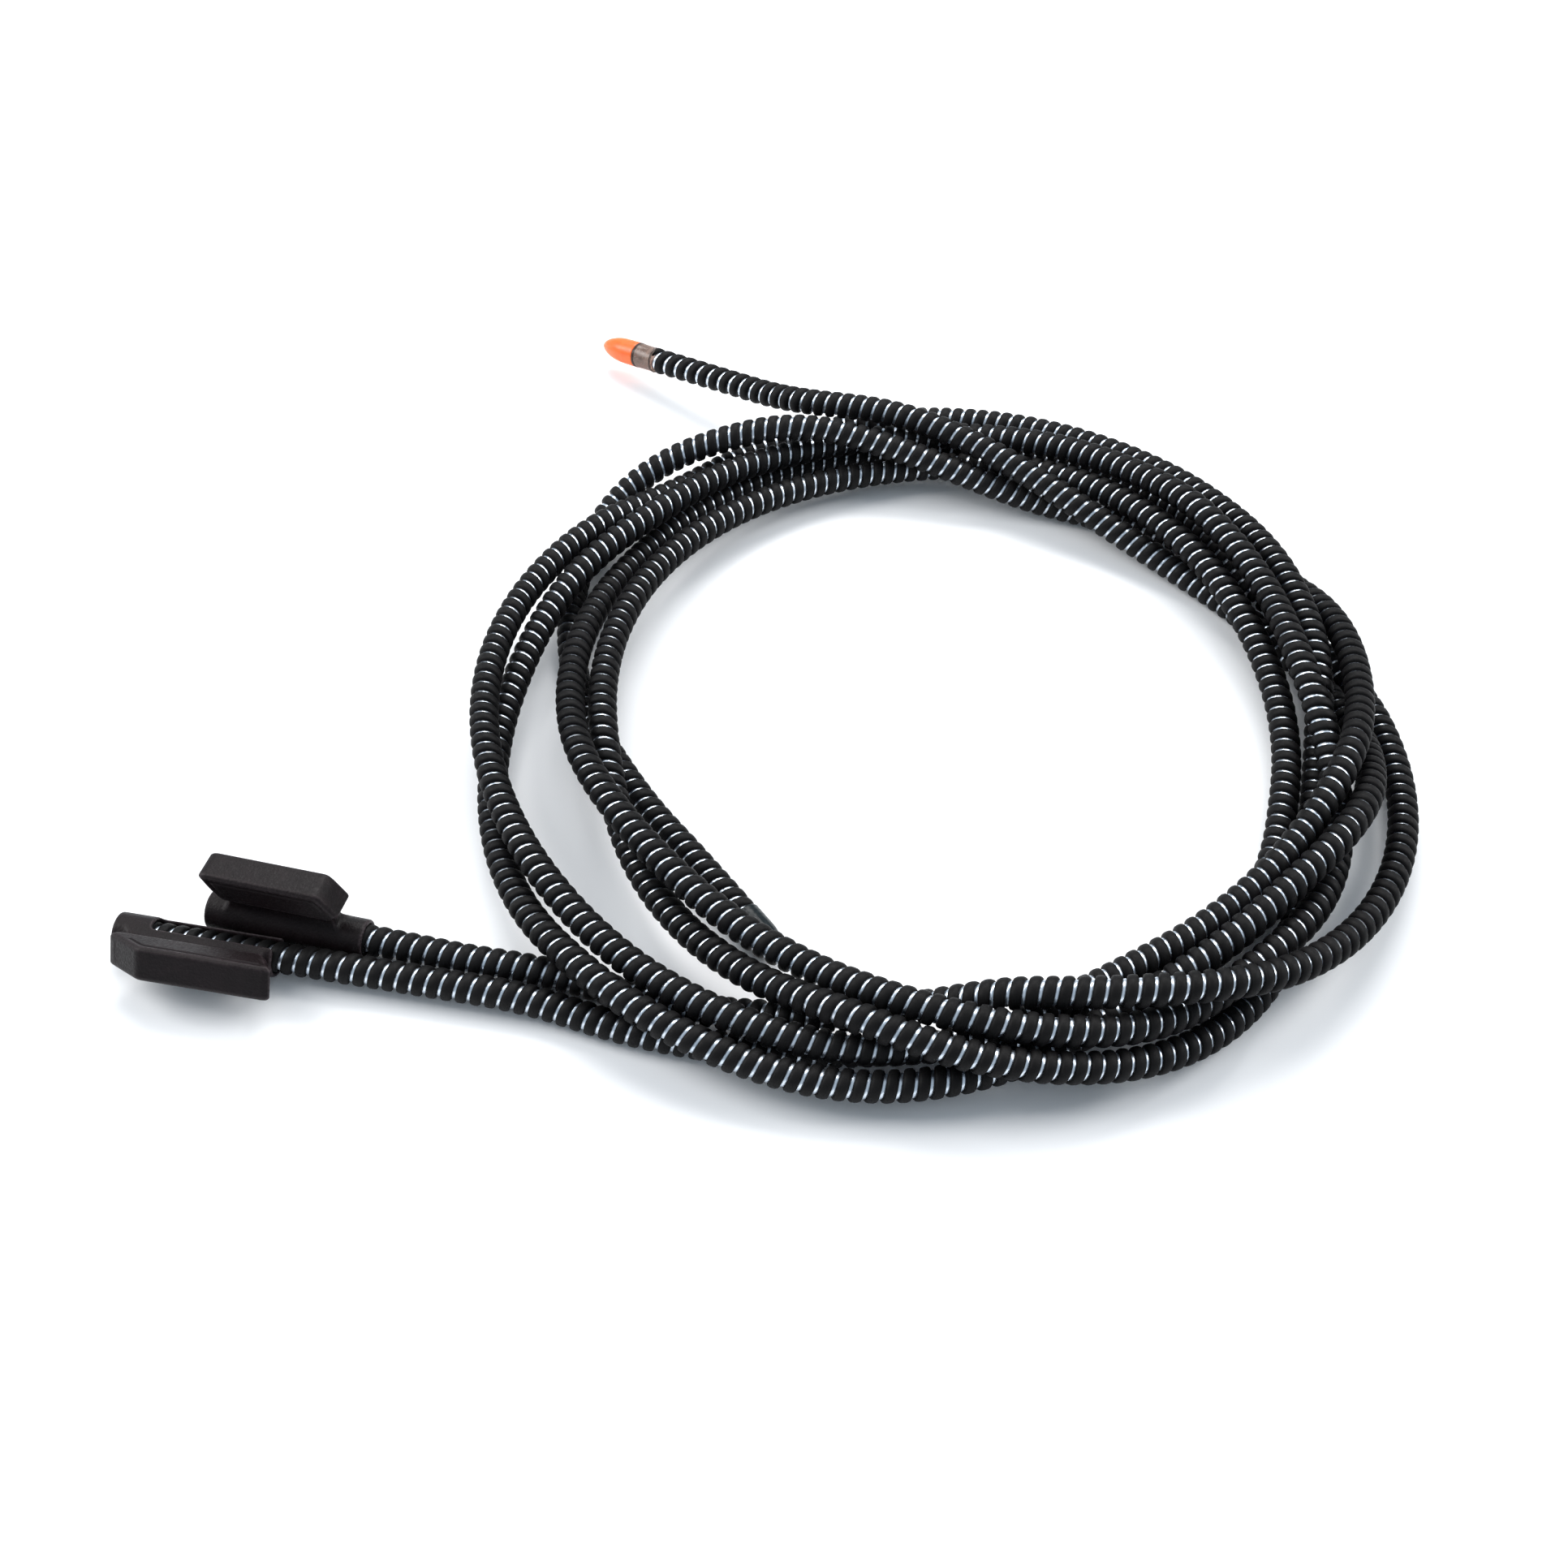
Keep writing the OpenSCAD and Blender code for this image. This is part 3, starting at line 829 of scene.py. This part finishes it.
def surface(field, low, high, h):
    """A closed quad mesh of field = 0 (surface nets, then moved onto the surface)."""
    axes = [np.arange(a, b + h, h) for a, b in zip(low, high)]
    f = field(*np.meshgrid(*axes, indexing="ij"))
    inside = f < 0
    shape = f.shape
    cells = tuple(n - 1 for n in shape)
    count = np.zeros(cells)
    total = np.zeros((*cells, 3))

    def at_corner(corner):
        return f[tuple(slice(c, n + c) for c, n in zip(corner, cells))]

    # Each cell's vertex is the mean of the crossings on its edges.
    for a in np.ndindex(2, 2, 2):
        for axis in range(3):
            if a[axis]:
                continue
            b = tuple(1 if i == axis else a[i] for i in range(3))
            fa, fb = at_corner(a), at_corner(b)
            cross = (fa < 0) != (fb < 0)
            t = np.where(cross, fa / np.where(cross, fa - fb, 1), 0)
            for i in range(3):
                total[..., i] += np.where(cross, a[i] + (t if i == axis else 0), 0)
            count += cross
    active = count > 0
    index = -np.ones(cells, np.int64)
    index[active] = np.arange(active.sum())
    mean = total[active] / count[active][:, None]
    verts = (np.argwhere(active) + mean) * h + np.array([a[0] for a in axes])

    # Each crossed grid edge joins the four cells round it.
    quads = []
    for axis in range(3):
        near = [slice(1, n - 1) for n in shape]
        far = list(near)
        near[axis], far[axis] = slice(0, shape[axis] - 1), slice(1, shape[axis])
        here, ahead = inside[tuple(near)], inside[tuple(far)]
        side_1, side_2 = (axis + 1) % 3, (axis + 2) % 3
        for crossed, flip in ((here & ~ahead, False), (~here & ahead, True)):
            edge = np.argwhere(crossed)
            edge[:, side_1] += 1
            edge[:, side_2] += 1
            corners = []
            for step_1, step_2 in ((-1, -1), (0, -1), (0, 0), (-1, 0)):
                cell = edge.copy()
                cell[:, side_1] += step_1
                cell[:, side_2] += step_2
                corners.append(index[tuple(cell.T)])
            quad = np.stack(corners, 1)
            quads.append(quad[:, ::-1] if flip else quad)

    e = 0.02
    for _ in range(4):
        f0 = field(*verts.T)
        slope = np.stack([(field(*(verts + e * row).T) - f0) / e for row in np.eye(3)], 1)
        move = np.clip(f0 / np.maximum((slope * slope).sum(1), 0.2), -0.5 * h, 0.5 * h)
        verts = verts - move[:, None] * slope * 0.9
    return verts, np.concatenate(quads)


def handle(cable, opening, **bar):
    """A wing handle whose trough opens toward the direction opening."""
    node = f"{cable.side}_handle"
    verts, quads = surface(handle_field(**bar), (-8, -8, -8), (54, 23.5, 8), GRID)
    points, _ = merged(node)
    axis = cable.tail_dir
    rel = points - cable.tail_root
    along = rel @ axis
    off = rel - along[:, None] * axis
    far = np.linalg.norm(off, axis=1) > 18 * MM
    wing = unit(off[far].mean(0))
    up = np.cross(axis, wing)
    if up @ np.array(opening) < 0:
        # A mirrored frame needs its faces turned over.
        up = -up
        quads = quads[:, ::-1]
    origin = cable.tail_root + axis * (along.max() - TROUGH_LENGTH * MM)
    placed = origin + (verts[:, :1] * axis + verts[:, 1:2] * wing + verts[:, 2:] * up) * MM
    piece = new_mesh(f"{cable.side}_wing_handle", placed, quads, MAT_HANDLE)
    register(piece, node, node)


handle(front, (0, 0, 1), free_end=(38, 49), root_end=(-6, -2), slot_range=(-8, 40))
handle(rear, (0, 1, 0), free_end=(51, 47), root_end=(11, 6), slot_range=(12, 60))


# ---------------------------------------------------------------- floor, light, camera

FLOOR_HALF, FLOOR_Z = 4, -0.0002    # metres
FLOOR_POINTS = 24                   # along each side
CAMERA_DOWN = math.radians(49)      # tilt below level
LIGHT_TINT = (1.0, 0.985, 0.97)
# Name, place and size in metres, power in watts. All face the origin.
SOFTBOXES = (("left_softbox", (-1.10, 0.13, 0.95), (0.7, 0.9), 15),
             ("right_softbox", (1.20, 0.23, 0.95), (0.7, 0.9), 13),
             ("back_softbox", (0.05, 0.98, 1.3), (1.2, 0.7), 21))


def floor():
    shader = Shader("studio_floor")
    tone = shader.noise(scale=9, detail=3)
    shader.set(Base_Color=shader.ramp(tone, low=(0.90, 0.905, 0.915), high=(0.92, 0.925, 0.93)),
               Roughness=0.75, Specular_IOR_Level=0.2)
    n = FLOOR_POINTS
    line = np.linspace(-FLOOR_HALF, FLOOR_HALF, n)
    verts = [(x, y, FLOOR_Z) for y in line for x in line]
    faces = np.array([(j * n + i, j * n + i + 1, (j + 1) * n + i + 1, (j + 1) * n + i)
                      for j in range(n - 1) for i in range(n - 1)])
    new_mesh("studio_floor", verts, faces, shader.material)


def softbox(name, place, size, power):
    light = bpy.data.lights.new(name, "AREA")
    light.shape = "RECTANGLE"
    light.size, light.size_y = size
    light.energy = power
    light.color = LIGHT_TINT
    lamp = bpy.data.objects.new(name, light)
    lamp.location = place
    lamp.rotation_euler = (-Vector(place)).to_track_quat("-Z", "Y").to_euler()
    bpy.context.scene.collection.objects.link(lamp)


floor()
for box in SOFTBOXES:
    softbox(*box)

world = bpy.data.worlds.new("studio")
bpy.context.scene.world = world
world.use_nodes = True
background = world.node_tree.nodes["Background"]
background.inputs["Color"].default_value = (0.80, 0.90, 1.0, 1)
background.inputs["Strength"].default_value = 0.58

lens = bpy.data.cameras.new("camera")
lens.lens = 46.2
lens.sensor_width = 36
camera = bpy.data.objects.new("camera", lens)
camera.location = (0.001359, -0.494353, 0.50988)
view = Vector((0, math.cos(CAMERA_DOWN), -math.sin(CAMERA_DOWN)))
camera.rotation_euler = view.to_track_quat("-Z", "Y").to_euler()
bpy.context.scene.collection.objects.link(camera)
bpy.context.scene.camera = camera
bpy.context.scene.view_settings.view_transform = "Standard"
